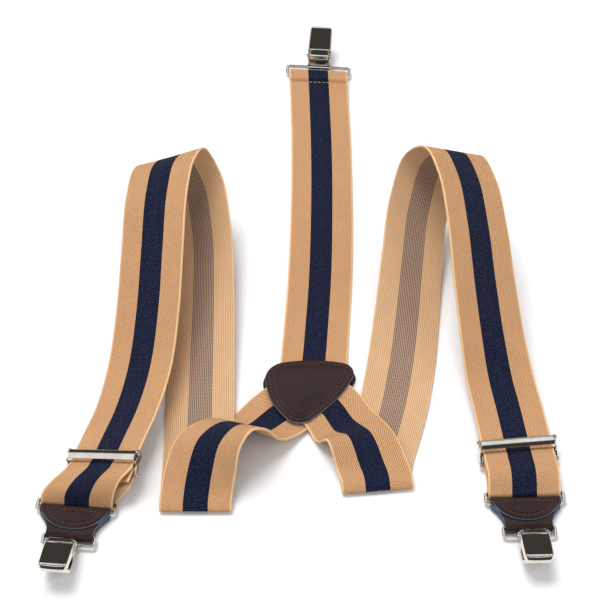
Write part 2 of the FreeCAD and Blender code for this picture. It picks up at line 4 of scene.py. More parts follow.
import bpy
import numpy as np
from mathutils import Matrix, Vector


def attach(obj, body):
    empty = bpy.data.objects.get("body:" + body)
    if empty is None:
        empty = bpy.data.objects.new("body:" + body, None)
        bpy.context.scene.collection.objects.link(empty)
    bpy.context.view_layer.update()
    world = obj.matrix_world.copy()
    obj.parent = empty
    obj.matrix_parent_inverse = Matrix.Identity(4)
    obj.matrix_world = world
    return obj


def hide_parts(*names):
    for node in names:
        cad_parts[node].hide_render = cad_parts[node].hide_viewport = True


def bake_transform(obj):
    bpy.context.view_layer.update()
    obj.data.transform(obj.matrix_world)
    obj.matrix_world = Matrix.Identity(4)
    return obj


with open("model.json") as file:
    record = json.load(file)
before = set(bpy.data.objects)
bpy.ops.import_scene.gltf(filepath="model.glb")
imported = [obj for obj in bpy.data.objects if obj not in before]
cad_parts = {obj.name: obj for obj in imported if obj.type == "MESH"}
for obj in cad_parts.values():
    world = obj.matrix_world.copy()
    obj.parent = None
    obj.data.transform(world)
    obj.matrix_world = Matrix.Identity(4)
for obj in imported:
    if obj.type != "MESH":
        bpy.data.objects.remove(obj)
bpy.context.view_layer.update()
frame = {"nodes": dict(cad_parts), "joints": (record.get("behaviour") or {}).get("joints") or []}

MM = 0.001
SHIFT = np.array([-1.0, -14.3, 0.0])      # where the layout's origin lies in the frame, mm
JOINTS = {j["name"]: j for j in frame["joints"]}
WEB_WIDE, WEB_THICK, STRIPE_HALF = 35.0, 1.4, 6.05     # webbing and its centre stripe, mm
RIB_PITCH = 0.96                           # ribs on the webbing's back
WRAP = 1.95                                # from a wire bar's axis to the webbing's middle
PATCH_WIDE, PATCH_DEEP, BACK_PATCH_GROW = 45.0, 42.4, 1.2
RING_RISE, TAB_PITCH = 5.8, 15.0           # strap ring's bar to bar, then on to the clip ring's bar
TAB_HALF, NECK_HALF, FLAP_DROP = 16.8, 11.3, 12.6
HINGE_X, HINGE_Z, TAIL_X, TAIL_Z = -2.6, 2.3, 6.0, -3.6    # an adjuster's hinge and tail bar
LEVER_LONG, LEVER_HALF = 21.4, 7.3

# strap routes, mm: centre x, y, z, then the plan angle and tilt of the width direction
LEFT_ROUTE = [
    (-3.0, -76.0, 2.15, -44, 0), (-10.5, -83.5, 2.4, -40, 0), (-22.5, -97.3, 6.2, -38, 15),
    (-29.3, -102.8, 16.8, -36, 23), (-36.5, -110.3, 23.5, -35, 24), (-43.5, -118.0, 22.0, -27, 13),
    (-47.8, -128.0, 13.5, -13, 3), (-49.8, -137.2, 6.2, -3, 0), (-50.2, -142.4, 4.7, 0, 0),
    (-50.2, -145.2, 2.85, 0, 0), (-50.2, -142.4, 1.0, 0, 0), (-50.2, -137.5, 0.95, 0, 0),
    (-50.1, -122.0, 1.2, 0, 0), (-50.2, -90.0, 2.0, 0, 3), (-50.6, -50.0, 4.6, 0, 11),
    (-51.0, -5.0, 8.4, 0, 21), (-53.0, 38.0, 15.0, -1, 28), (-58.0, 61.5, 26.0, 0, 28),
    (-66.5, 66.0, 42.5, 0, 25), (-72.6, 49.5, 53.0, -6, 17), (-75.4, 27.5, 51.6, -8, 16),
    (-76.6, -3.0, 41.0, -9, 16), (-78.0, -33.0, 26.5, -10, 14), (-81.0, -62.0, 15.0, -13, 13),
    (-87.0, -92.2, 11.7, -16, 16), (-91.2, -106.6, 11.7, -16, 16), (-96.2, -124.1, 11.7, -16, 16),
    (-96.7, -125.8, 11.7, -16, 16), (-100.0, -131.8, 13.0, -13, 15), (-103.2, -135.6, 12.4, -9, 11),
    (-105.7, -138.8, 9.9, -7, 5), (-106.9, -140.7, 7.0, -6, 0),
]
RIGHT_ROUTE = [
    (8.5, -73.0, 4.0, 45, 0), (15.2, -80.3, 4.0, 42, 0), (22.3, -92.8, 3.5, 35, 1),
    (26.0, -99.3, 7.8, 28, -5), (29.2, -104.5, 11.0, 21, -10), (31.8, -110.2, 9.4, 18, -6),
    (34.5, -118.0, 6.3, 14, 0), (37.1, -126.5, 5.1, 8, 0), (37.5, -130.2, 4.7, 6, 0),
    (37.75, -132.6, 2.85, 6, 0), (37.5, -130.2, 1.0, 6, 0), (37.2, -126.0, 0.95, 5, 0),
    (38.2, -116.0, 1.2, 3, 0), (41.6, -101.0, 1.5, -2, 1), (46.9, -79.0, 1.5, -7, 1),
    (52.1, -50.0, 2.4, -7, -4), (56.3, -18.0, 6.0, -4, -14), (60.3, 18.0, 12.5, -2, -21),
    (64.8, 49.0, 23.0, -1, -24), (71.8, 65.5, 38.4, 4, -26), (81.5, 59.0, 54.0, 13, -22),
    (88.2, 37.5, 55.8, 14, -20), (92.3, 10.0, 47.5, 14, -18), (95.2, -20.0, 33.0, 13, -14),
    (98.6, -48.0, 18.5, 11, -9), (101.7, -68.0, 9.2, 7, -2), (103.8, -81.0, 7.3, 6, 0),
    (105.7, -99.0, 7.3, 6, 0), (107.5, -116.1, 7.3, 6, 0), (108.2, -127.5, 9.0, 5, 0),
    (108.3, -132.9, 6.5, 3, 0),
]
BACK_ROUTE = [
    (6.6, -57.6, 2.15, 184, 0), (7.15, -47.6, 2.1, 184, 0), (7.9, -36.0, 1.1, 184, 0),
    (8.5, -26.0, 0.95, 184, 0), (10.6, 10.0, 0.85, 183, 0), (12.2, 70.0, 0.85, 181, 0),
    (12.4, 125.0, 0.85, 179, 0), (11.5, 172.0, 2.2, 177, 0), (11.1, 185.0, 4.6, 176, 0),
]


# ---------------------------------------------------------------- small node helpers

class Nodes:
    """Builds a shader from short calls; a plain number or a socket can be any input."""

    def __init__(self, name):
        self.mat = bpy.data.materials.new(name)
        self.mat.use_nodes = True
        self.tree = self.mat.node_tree
        self.tree.nodes.clear()
        self.out = self.tree.nodes.new("ShaderNodeOutputMaterial")

    def put(self, socket, value):
        if isinstance(value, bpy.types.NodeSocket):
            self.tree.links.new(value, socket)
        elif value is not None:
            socket.default_value = value

    def math(self, operation, a, b=None, c=None, clamp=False):
        node = self.tree.nodes.new("ShaderNodeMath")
        node.operation, node.use_clamp = operation, clamp
        for socket, value in zip(node.inputs, (a, b, c)):
            self.put(socket, value)
        return node.outputs[0]

    def range(self, value, lo, hi, to_lo=0.0, to_hi=1.0):
        node = self.tree.nodes.new("ShaderNodeMapRange")
        node.interpolation_type = "SMOOTHSTEP"
        for socket, v in zip(node.inputs, (value, lo, hi, to_lo, to_hi)):
            self.put(socket, v)
        return node.outputs[0]

    def mix(self, factor, a, b):
        node = self.tree.nodes.new("ShaderNodeMix")
        node.data_type = "RGBA"
        self.put(node.inputs[0], factor)
        self.put(node.inputs[6], a)
        self.put(node.inputs[7], b)
        return node.outputs[2]

    def scale(self, colour, factor):
        """Colour times a number."""
        node = self.tree.nodes.new("ShaderNodeMix")
        node.data_type, node.blend_type = "RGBA", "MULTIPLY"
        node.inputs[0].default_value = 1.0
        grey = self.tree.nodes.new("ShaderNodeCombineColor")
        for i in range(3):
            self.put(grey.inputs[i], factor)
        self.put(node.inputs[6], colour)
        self.put(node.inputs[7], grey.outputs[0])
        return node.outputs[2]

    def coords(self, uv=None):
        if uv:
            node = self.tree.nodes.new("ShaderNodeUVMap")
            node.uv_map = uv
            return node.outputs[0]
        return self.tree.nodes.new("ShaderNodeTexCoord").outputs["Object"]

    def split(self, vector):
        node = self.tree.nodes.new("ShaderNodeSeparateXYZ")
        self.put(node.inputs[0], vector)
        return node.outputs

    def noise(self, vector, scale, detail, rough=0.5, stretch=None):
        if stretch:
            mapped = self.tree.nodes.new("ShaderNodeMapping")
            self.put(mapped.inputs["Vector"], vector)
            mapped.inputs["Scale"].default_value = stretch
            vector = mapped.outputs[0]
        node = self.tree.nodes.new("ShaderNodeTexNoise")
        self.put(node.inputs["Vector"], vector)
        node.inputs["Scale"].default_value = scale
        node.inputs["Detail"].default_value = detail
        node.inputs["Roughness"].default_value = rough
        return node.outputs[0]

    def voronoi(self, vector, scale, feature="F1"):
        node = self.tree.nodes.new("ShaderNodeTexVoronoi")
        node.feature = feature
        self.put(node.inputs["Vector"], vector)
        node.inputs["Scale"].default_value = scale
        return node.outputs["Distance"]

    def bump(self, height, distance, strength=1.0, normal=None):
        node = self.tree.nodes.new("ShaderNodeBump")
        self.put(node.inputs["Height"], height)
        node.inputs["Distance"].default_value = distance
        node.inputs["Strength"].default_value = strength
        if normal is not None:
            self.put(node.inputs["Normal"], normal)
        return node.outputs[0]

    def principled(self, **values):
        node = self.tree.nodes.new("ShaderNodeBsdfPrincipled")
        for key, value in values.items():
            self.put(node.inputs[key.replace("_", " ")], value)
        self.tree.links.new(node.outputs[0], self.out.inputs[0])
        return self.mat


def rgb(r, g, b):
    """sRGB bytes to a linear colour."""
    return tuple((c / 255 / 12.92 if c <= 10 else ((c / 255 + 0.055) / 1.055) ** 2.4)
                 for c in (r, g, b)) + (1.0,)


# ---------------------------------------------------------------- materials

TAN, TAN_PALE, TAN_BACK = rgb(232, 178, 130), rgb(238, 194, 148), rgb(234, 190, 146)
# the second colour here is a painted highlight: pale blue laid on the navy yarns' crowns in place
# of their sheen
NAVY, NAVY_PAINTED_HIGHLIGHT, BAND = rgb(19, 23, 47), rgb(84, 94, 134), rgb(186, 156, 134)


def webbing(side):
    """Elastic webbing. The face is a fine steep twill of lengthwise floats; the back has fine
    lengthwise ribs with a darker central band of dashes."""
    n = Nodes("webbing_" + side)
    uv = n.coords("weave")
    u, v, _ = n.split(uv)                      # metres across and along
    wobble = n.noise(uv, 900, 2)

    def bulge(across, drop):
        """A rounded yarn or rib: 1 in its middle, falling off with the square of across."""
        return n.math("SUBTRACT", 1.0, n.math("MULTIPLY", n.math("MULTIPLY", across, across), drop))

    if side == "face":
        pitch, run, step = 0.00040, 0.00150, 0.00050      # yarn, float, and each yarn's shift
        yarn = n.math("FLOOR", n.math("DIVIDE", u, pitch))
        across = n.math("SUBTRACT", n.math("FRACT", n.math("DIVIDE", u, pitch)), 0.5)
        round_yarn = bulge(across, 3.2)
        phase = n.math("DIVIDE", n.math("ADD", n.math("ADD", v, n.math("MULTIPLY", yarn, step)),
                                        n.math("MULTIPLY", wobble, 0.0003)), run)
        along = n.math("SUBTRACT", n.math("FRACT", phase), 0.5)
        float_bump = bulge(along, 3.6)
        edge = n.range(n.math("ABSOLUTE", u), 0.0163, 0.0170)
        height = n.math("MULTIPLY", round_yarn, float_bump, clamp=True)
        height = n.math("MULTIPLY_ADD", edge, n.math("SUBTRACT", 0.58, height), height)
        centre_u = n.math("MULTIPLY", n.math("ADD", yarn, 0.5), pitch)
        in_stripe = n.math("LESS_THAN", n.math("ABSOLUTE", centre_u), STRIPE_HALF * MM)
        tan = n.mix(edge, TAN, TAN_PALE)
        # painted highlight: pale blue spots on the navy yarns, strongest on their high crowns
        spot_noise = n.noise(uv, 2600, 1)
        navy = n.mix(n.math("MULTIPLY", n.range(spot_noise, 0.48, 0.72), height), NAVY, NAVY_PAINTED_HIGHLIGHT)
        base = n.mix(in_stripe, tan, navy)
        # painted shade: the colour darkens in the grooves between yarns and floats, where the
        # weave's height is low
        shade = n.math("MULTIPLY_ADD", height, 1.22, 0.22)
        depth, rough = 0.00045, 0.85
    else:
        pitch, pick, dash_pitch = RIB_PITCH * MM, 0.0008, 0.0046
        rib = n.math("FLOOR", n.math("DIVIDE", u, pitch))
        across = n.math("SUBTRACT", n.math("FRACT", n.math("DIVIDE", u, pitch)), 0.5)
        ridge = bulge(across, 3.4)
        odd = n.math("FRACT", n.math("MULTIPLY", rib, 0.5))
        cell = n.math("FRACT", n.math("ADD", n.math("DIVIDE", v, dash_pitch), odd))
        wave = n.math("SINE", n.math("MULTIPLY", v, 2 * math.pi / pick))
        picks = n.math("MULTIPLY_ADD", wave, 0.18, 0.82)
        height = n.math("MULTIPLY", ridge, picks, clamp=True)
        in_stripe = n.math("LESS_THAN", n.math("ABSOLUTE", u), STRIPE_HALF * MM)
        groove = n.range(n.math("ABSOLUTE", across), 0.26, 0.44)
        dash = n.math("MULTIPLY", n.range(cell, 0.90, 0.80), groove)
        dark = n.math("MULTIPLY", n.math("MULTIPLY", dash, in_stripe), 0.92)
        base = n.mix(in_stripe, TAN_BACK, BAND)
        base = n.mix(dark, base, NAVY)
        # painted shade: the colour darkens in the grooves between the ribs and between the picks
        shade = n.math("MULTIPLY_ADD", height, 0.58, 0.38)
        depth, rough = 0.00026, 0.88
    cloud = n.noise(uv, 60, 3)
    shade = n.math("MULTIPLY", shade, n.math("MULTIPLY_ADD", cloud, 0.16, 0.93))
    fuzz = n.noise(uv, 4200, 1)
    shade = n.math("MULTIPLY", shade, n.math("MULTIPLY_ADD", fuzz, 0.22, 0.89))
    # the base colour times the painted groove shade, with random cloud and fuzz in its tone
    colour = n.scale(base, shade)
    normal = n.bump(height, depth, 0.9)
    return n.principled(Base_Color=colour, Roughness=rough, Normal=normal, Sheen_Weight=0.03,
                        Sheen_Roughness=0.4, Specular_IOR_Level=0.12)


def thread(name, colour, dark):
    """Twisted sewing thread."""
    n = Nodes(name)
    p = n.coords()
    twist = n.noise(p, 3000, 2, stretch=(1.0, 1.0, 2.0))
    shade = n.mix(n.range(twist, 0.35, 0.65), dark, colour)
    return n.principled(Base_Color=shade, Roughness=0.6, Normal=n.bump(twist, 0.00008),
                        Sheen_Weight=0.1)


def leather(name):
    """Smooth finished leather: fine pores and creases, a soft shine, paler where it is rubbed."""
    n = Nodes(name)
    p = n.coords()
    pores = n.voronoi(p, 1500)
    creases = n.voronoi(p, 620, "DISTANCE_TO_EDGE")
    cloud = n.noise(p, 90, 4)
    rub = n.noise(p, 260, 5, 0.65)
    height = n.math("ADD", n.math("MULTIPLY", n.range(creases, 0.0, 0.10), 0.6),
                    n.math("MULTIPLY", n.range(pores, 0.0, 0.5), 0.5))
    colour = n.mix(n.range(cloud, 0.3, 0.7), rgb(33, 17, 13), rgb(43, 26, 21))
    colour = n.mix(n.math("MULTIPLY", n.range(rub, 0.62, 0.80), 0.25), colour, rgb(72, 52, 46))
    rough = n.range(cloud, 0.2, 0.8, 0.32, 0.43)
    return n.principled(Base_Color=colour, Roughness=rough, Normal=n.bump(height, 0.00006, 0.55),
                        Specular_IOR_Level=0.36)


def raw_edge(name):
    """Cut edge of chrome-tanned leather: blue-grey fibres running along the cut."""
    n = Nodes(name)
    p = n.coords()
    fibre = n.noise(p, 1600, 4, 0.7, stretch=(1.0, 1.0, 3.0))
    tuft = n.voronoi(p, 1900)
    colour = n.mix(n.range(fibre, 0.32, 0.68), rgb(52, 66, 84), rgb(128, 148, 170))
    colour = n.mix(n.math("MULTIPLY", n.range(tuft, 0.45, 0.75), 0.5), colour, rgb(40, 44, 52))
    height = n.math("ADD", fibre, n.math("MULTIPLY", tuft, 0.7))
    return n.principled(Base_Color=colour, Roughness=0.9, Normal=n.bump(height, 0.00022, 0.9),
                        Sheen_Weight=0.2)


def nickel(name, rough=0.05):
    """Polished nickel plate: rounded arrises, faint handling marks and a little orange peel."""
    n = Nodes(name)
    p = n.coords()
    smear = n.noise(p, 150, 3, 0.5)
    scratch = n.noise(p, 900, 3, 0.6, stretch=(1.0, 9.0, 1.0))
    colour = n.mix(n.range(smear, 0.35, 0.75), rgb(222, 217, 210), rgb(210, 203, 192))
    marks = n.range(scratch, 0.62, 0.74)
    value = n.math("ADD", n.range(smear, 0.2, 0.8, rough, rough + 0.04),
                   n.math("MULTIPLY", marks, 0.08))
    round_off = n.tree.nodes.new("ShaderNodeBevel")
    round_off.samples = 4
    round_off.inputs["Radius"].default_value = 0.00022
    return n.principled(Base_Color=colour, Metallic=1.0, Roughness=value,
                        Normal=n.bump(smear, 0.00001, 0.3, round_off.outputs[0]))


def grip(name):
    """Moulded translucent-white insert, slightly grimy in random patches."""
    n = Nodes(name)
    p = n.coords()
    cloud = n.noise(p, 500, 3)
    colour = n.mix(n.range(cloud, 0.35, 0.7), rgb(214, 210, 200), rgb(232, 229, 221))
    return n.principled(Base_Color=colour, Roughness=0.45, Normal=n.bump(cloud, 0.00003, 0.4))


M_FACE, M_BACK = webbing("face"), webbing("back")
M_THREAD = thread("thread_tan", rgb(226, 198, 160), rgb(168, 132, 96))
M_THREAD_RED = thread("thread_brown", rgb(126, 62, 52), rgb(62, 28, 24))
M_LEATHER, M_EDGE = leather("leather_dark_brown"), raw_edge("leather_raw_edge")
M_NICKEL, M_WIRE = nickel("nickel_pressed"), nickel("nickel_wire", 0.08)
M_GRIP = grip("grip_insert")


# ---------------------------------------------------------------- places, from the record

def joint_point(name):
    """Where a joint lies, mm."""
    return np.array(JOINTS[name]["pos_m"]) * 1000


def joint_place(name, toward):
    """A joint's own frame, mm: origin, x along the strap's end, y across, z off the face."""
    origin = joint_point(name)
    y = -np.array(JOINTS[name]["axis"])
    x = joint_point(toward) - origin
    x = x - y * x.dot(y)
    x /= np.linalg.norm(x)
    return origin, x, y, np.cross(x, y)


def to_world(place, points):
    """Points given in a place's own axes, moved into the frame."""
    origin, x, y, z = place
    p = np.asarray(points, float)
    return origin + p[..., 0:1] * x + p[..., 1:2] * y + p[..., 2:3] * z


ENDS = {"left": joint_place("left_strap_ring_swing", "left_tab_swing"),
        "right": joint_place("right_strap_ring_swing", "right_tab_swing"),
        "back": joint_place("back_ring_swing", "back_clip_swing")}


# ---------------------------------------------------------------- mesh helpers

def make_mesh(name, verts, faces, materials, body, face_mats=None, uvs=None):
    """A finished piece from points in mm; it rides on a CAD body when one is given."""
    mesh = bpy.data.meshes.new(name)
    mesh.from_pydata((np.asarray(verts) * MM).tolist(), [], [list(f) for f in faces])
    for m in materials:
        mesh.materials.append(m)
    if face_mats is not None:
        mesh.polygons.foreach_set("material_index", np.asarray(face_mats, np.int32))
    mesh.polygons.foreach_set("use_smooth", [True] * len(mesh.polygons))
    if uvs is not None:
        layer = mesh.uv_layers.new(name="weave")
        loops = np.empty(len(mesh.loops), np.int32)
        mesh.loops.foreach_get("vertex_index", loops)
        layer.data.foreach_set("uv", np.asarray(uvs, np.float32)[loops].ravel())
    mesh.update()
    obj = bpy.data.objects.new(name, mesh)
    bpy.context.scene.collection.objects.link(obj)
    if body:
        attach(obj, body)
    return obj


# ---------------------------------------------------------------- webbing

def unit(v):
    return v / np.linalg.norm(v, axis=-1, keepdims=True)


def run_lengths(points):
    """Distance along a polyline, at each of its points."""
    return np.concatenate([[0], np.cumsum(np.linalg.norm(np.diff(points, axis=0), axis=1))])


def slopes(vals, gaps):
    """The curve's rate of change at each station, weighed by the gaps on both sides."""
    rate = np.empty_like(vals)
    step = np.diff(vals, axis=0) / gaps[:, None]
    before, after = gaps[:-1, None], gaps[1:, None]
    rate[1:-1] = (step[:-1] * after + step[1:] * before) / (before + after)
    rate[0], rate[-1] = step[0], step[-1]
    return rate


def route_frames(stations, step):
    """The same smooth curve as the CAD strap: centre, tangent, width and face per point."""
    s = np.array(stations, float)
    pts = s[:, :3] + SHIFT
    az, tilt = np.radians(s[:, 3]), np.radians(s[:, 4])
    wide = np.stack([np.cos(az) * np.cos(tilt), np.sin(az) * np.cos(tilt), np.sin(tilt)], 1)
    gaps = np.linalg.norm(np.diff(pts, axis=0), axis=1)
    rates = slopes(pts, gaps), slopes(wide, gaps)

    def at(vals, rate, i, u):
        return (vals[i] * (1 - 3 * u * u + 2 * u ** 3) + vals[i + 1] * (3 * u * u - 2 * u ** 3)
                + rate[i] * gaps[i] * (u - 2 * u * u + u ** 3)
                + rate[i + 1] * gaps[i] * (u ** 3 - u * u))

    rows = []
    for i, gap in enumerate(gaps):
        count = max(3, int(round(gap / (step if gap > 4.5 else step / 6))))
        for k in range(count + (i == len(gaps) - 1)):
            u = k / count
            t = at(pts, rates[0], i, min(1, u + 0.01)) - at(pts, rates[0], i, max(0, u - 0.01))
            rows.append((at(pts, rates[0], i, u), t, at(wide, rates[1], i, u)))
    centre, run, width = (np.array([r[k] for r in rows]) for k in range(3))
    run, width = unit(run), unit(width)
    return centre, run, width, unit(np.cross(run, width))


def wrap_frames(place, radius, start, stop):
    """The webbing's turn round a wire bar, from angle start over the top to angle stop."""
    a = np.radians(np.linspace(start, stop, 25))[:, None]
    _, x, y, z = place
    out = np.cos(a) * x + np.sin(a) * z
    run = np.sin(a) * x - np.cos(a) * z
    return place[0] + out * radius, run, np.repeat(y[None], len(a), 0), out


def line_frames(first, last, count, skip=0):
    """A straight run of webbing from one frame to another, without its first skip frames."""
    u = np.linspace(0, 1, count + 1)[skip:]
    centre = first[0] + (last[0] - first[0]) * u[:, None]
    run = np.repeat(unit(last[0] - first[0])[None], len(u), 0)
    width = unit(first[2] + (last[2] - first[2]) * u[:, None])
    return centre, run, width, unit(np.cross(run, width))


def join(*parts):
    """Chain several runs of frames into one."""
    return tuple(np.concatenate(cols) for cols in zip(*parts))


def smooth_frames(frames, passes):
    """Soften the joins of a chain of frames without moving its ends."""
    centre, _, width, _ = (np.array(f) for f in frames)
    for _ in range(passes):
        centre[1:-1] += 0.5 * ((centre[:-2] + centre[2:]) / 2 - centre[1:-1])
        width[1:-1] += 0.5 * ((width[:-2] + width[2:]) / 2 - width[1:-1])
    run, width = unit(np.gradient(centre, axis=0)), unit(width)
    return centre, run, width, unit(np.cross(run, width))


def section():
    """Webbing's cross-section: face side flat with softly raised selvages, back side ribbed."""
    half, thick, edge = WEB_WIDE / 2, WEB_THICK / 2, 0.35
    ribs, per = 36, 4
    face_w = np.linspace(half - edge, -(half - edge), 40)
    bead = np.exp(-((np.abs(face_w) - (half - 0.6)) / 0.45) ** 2)
    face_t = thick - 0.10 + 0.07 * bead
    back_w = np.linspace(-(half - edge), half - edge, ribs * per + 1)
    back_t = -(thick - 0.14) - 0.13 * np.abs(np.sin(np.pi * back_w / RIB_PITCH))
    a = np.radians(np.array([60, 25, -10, -45]))
    right = np.stack([half - edge + edge * np.cos(a), 0.52 * np.sin(a)], 1)
    left = right[::-1] * [-1, 1]
    face_side, back_side = np.stack([face_w, face_t], 1), np.stack([back_w, back_t], 1)
    kind = [0] * (len(face_w) + len(left)) + [1] * len(back_w) + [0] * len(right)
    return np.concatenate([face_side, left, back_side, right[::-1]]), np.array(kind)


SECTION, SECTION_KIND = section()


def webbing_mesh(name, frames, body, press=()):
    """A closed strip of webbing along the frames. press: (distance along, depth, half width)
    dents where a seam pulls the face down."""
    centre, _, width, face = frames
    length = run_lengths(centre)
    count, around = len(centre), len(SECTION)
    w, t = SECTION[:, 0], SECTION[:, 1].copy()
    depth = np.zeros(count)
    for where, deep, spread in press:
        depth += deep * np.exp(-((length - where) / spread) ** 2)
    height = t[None, :] - depth[:, None] * (t[None, :] > 0)
    verts = (centre[:, None] + width[:, None] * w[None, :, None]
             + face[:, None] * height[..., None])
    uvs = np.stack([np.broadcast_to(w, (count, around)),
                    np.broadcast_to(length[:, None], (count, around))], -1)
    i, j = np.meshgrid(np.arange(count - 1), np.arange(around), indexing="ij")
    k = (j + 1) % around
    here, ahead = i * around, (i + 1) * around
    quads = np.stack([here + j, ahead + j, ahead + k, here + k], -1).reshape(-1, 4)
    mats = np.where((SECTION_KIND[j] == 1) & (SECTION_KIND[k] == 1), 1, 0).ravel()
    first_end, last_end = range(around), range((count - 1) * around, count * around)
    faces = quads.tolist() + [list(first_end), list(last_end)[::-1]]
    mats = np.concatenate([mats, [0, 0]])
    obj = make_mesh(name, verts.reshape(-1, 3), faces, [M_FACE, M_BACK], body,
                    face_mats=mats, uvs=uvs.reshape(-1, 2) * MM)
    for poly in list(obj.data.polygons)[-2:]:
        poly.use_smooth = False
    return obj, float(length[-1])


def loop_mesh(name, rings, faces_mats, materials, body):
    """Skin a stack of equal closed rings and cap it; faces_mats gives the material per step."""
    rings = np.asarray(rings)
    count, around = rings.shape[:2]
    faces, mats = [], []
    for i in range(count - 1):
        here, ahead = i * around, (i + 1) * around
        for j in range(around):
            k = (j + 1) % around
            faces.append((here + j, here + k, ahead + k, ahead + j))
            mats.append(faces_mats[i])
    faces += [tuple(range(around))[::-1], tuple(range((count - 1) * around, count * around))]
    mats += [faces_mats[0], faces_mats[-1]]
    return make_mesh(name, rings.reshape(-1, 3), faces, materials, body, face_mats=mats)


def stitches(name, spots, runs, ups, body, material, length, radius):
    """Real thread: one small rounded stitch per spot, lying along run and sunk into the face."""
    rows, around = 7, 8
    t = np.linspace(-1, 1, rows)
    prof = np.sqrt(np.clip(1 - np.abs(t) ** 3.2, 0, 1))
    arc = np.linspace(0, 2 * np.pi, around, endpoint=False)
    verts, faces = [], []
    for spot, run, up in zip(spots, runs, ups):
        run = run / np.linalg.norm(run)
        side = unit(np.cross(run, up))
        top = np.cross(side, run)
        base = len(verts)
        for k in range(rows):
            middle = spot + run * t[k] * length / 2 - top * 0.16 * t[k] ** 2
            for a in arc:
                verts.append(middle + (side * np.cos(a) + top * np.sin(a)) * radius * prof[k])
        for k in range(rows - 1):
            here, ahead = base + k * around, base + (k + 1) * around
            for j in range(around):
                m = (j + 1) % around
                faces.append((here + j, here + m, ahead + m, ahead + j))
    return make_mesh(name, verts, faces, [material], body)


def along_path(points, pitch):
    """Evenly spaced spots on a polyline, with the direction of the line at each."""
    length = run_lengths(points)
    at = np.arange(pitch / 2, length[-1], pitch)
    spots, ahead, back = (np.stack([np.interp(at + off, length, points[:, k]) for k in range(3)], 1)
                          for off in (0.0, 0.2, -0.2))
    return spots, ahead - back


def arc3(a, b, c, n):
    """Points on the circle through a, b, c, from a up to but not including c."""
    a, b, c = (np.array(p, float) for p in (a, b, c))
    d = 2 * (a[0] * (b[1] - c[1]) + b[0] * (c[1] - a[1]) + c[0] * (a[1] - b[1]))
    if abs(d) < 1e-9:
        return [a + (c - a) * k / n for k in range(n)]
    ux = ((a @ a) * (b[1] - c[1]) + (b @ b) * (c[1] - a[1]) + (c @ c) * (a[1] - b[1])) / d
    uy = ((a @ a) * (c[0] - b[0]) + (b @ b) * (a[0] - c[0]) + (c @ c) * (b[0] - a[0])) / d
    o = np.array([ux, uy])
    r = np.linalg.norm(a - o)
    t0, t1, t2 = (math.atan2(p[1] - uy, p[0] - ux) for p in (a, b, c))
    turn = (t2 - t0) % (2 * math.pi)
    if (t1 - t0) % (2 * math.pi) > turn:
        turn -= 2 * math.pi
    angles = [t0 + turn * k / n for k in range(n)]
    return [o + r * np.array([math.cos(t), math.sin(t)]) for t in angles]


def resample(points, count):
    """The same closed outline with evenly spaced points."""
    p = np.asarray(points + [points[0]], float)
    length = run_lengths(p)
    at = np.linspace(0, length[-1], count, endpoint=False)
    return np.stack([np.interp(at, length, p[:, k]) for k in range(2)], 1)


def inset(outline, distance):
    """The outline moved inwards, whichever way it runs, with tight corners trimmed clean."""
    run = np.roll(outline, -1, 0) - np.roll(outline, 1, 0)
    normal = np.stack([run[:, 1], -run[:, 0]], 1) / np.linalg.norm(run, axis=1, keepdims=True)
    ahead = np.roll(outline, -1, 0)
    area = 0.5 * np.sum(outline[:, 0] * ahead[:, 1] - ahead[:, 0] * outline[:, 1])
    line = outline - normal * distance * (1 if area > 0 else -1)
    gap = np.linalg.norm(line[:, None] - outline[None], axis=2).min(1)
    keep = gap > 0.97 * distance - 0.01
    return line if keep.all() else resample(list(line[keep]), len(line))


# ---------------------------------------------------------------- the three straps

# where each strap meets and leaves its ring's bar, degrees round it
START, STOP = {"left": 30, "right": 65}, {"left": -130, "right": -90}
FRONT_STEP, BACK_STEP = 1.6, 0.5           # distance between cross-sections; the hem needs more
strap_length, strap_piece = {}, {}


def seam_across(name, frames, index, sunk):
    """A row of stitches straight across a strip at one of its frames, sunk into its face."""
    centre, _, width, face = (f[index] for f in frames)
    pitch, reach = 2.6, 16.0
    u = np.arange(-reach, reach + 0.01, pitch)
    spots = centre + width * u[:, None] + face * (WEB_THICK / 2 - sunk)
    return stitches(name, spots, [width] * len(u), [face] * len(u), "webbing", M_THREAD,
                    length=pitch * 0.8, radius=0.2)


for side, route in (("left", LEFT_ROUTE), ("right", RIGHT_ROUTE)):
    end = ENDS[side]
    down = smooth_frames(route_frames(route, FRONT_STEP), 3)
    turn = wrap_frames(end, WRAP, START[side], STOP[side])
    strap_piece[side], strap_length[side] = webbing_mesh(side + "_webbing", join(down, turn),
                                                         "webbing")
    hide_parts(side + "_strap")

route = smooth_frames(route_frames(BACK_ROUTE, BACK_STEP), 6)
turn = wrap_frames(ENDS["back"], WRAP, 90, -90)
last = [f[-1] for f in turn]
hem_long, hem_aside = 11.0, 1.1
under = (last[0] - ENDS["back"][1] * hem_long - ENDS["back"][2] * hem_aside, *last[1:])
hem_run = line_frames(last, under, 8, skip=1)
back_frames = join(route, turn, hem_run)
lengths = run_lengths(route[0])
seam_at = float(lengths[-1]) - 3.6         # the hem's seam, this far short of the ring
dents = [(seam_at, 0.90, 0.60), (seam_at + 2.4, -0.90, 1.5)]
webbing_obj, strap_length["back"] = webbing_mesh("back_webbing", back_frames, "webbing",
                                                 press=dents)
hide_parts("back_strap")
seam = seam_across("back_hem_seam", route, int(np.argmin(np.abs(lengths - seam_at))), sunk=0.54)

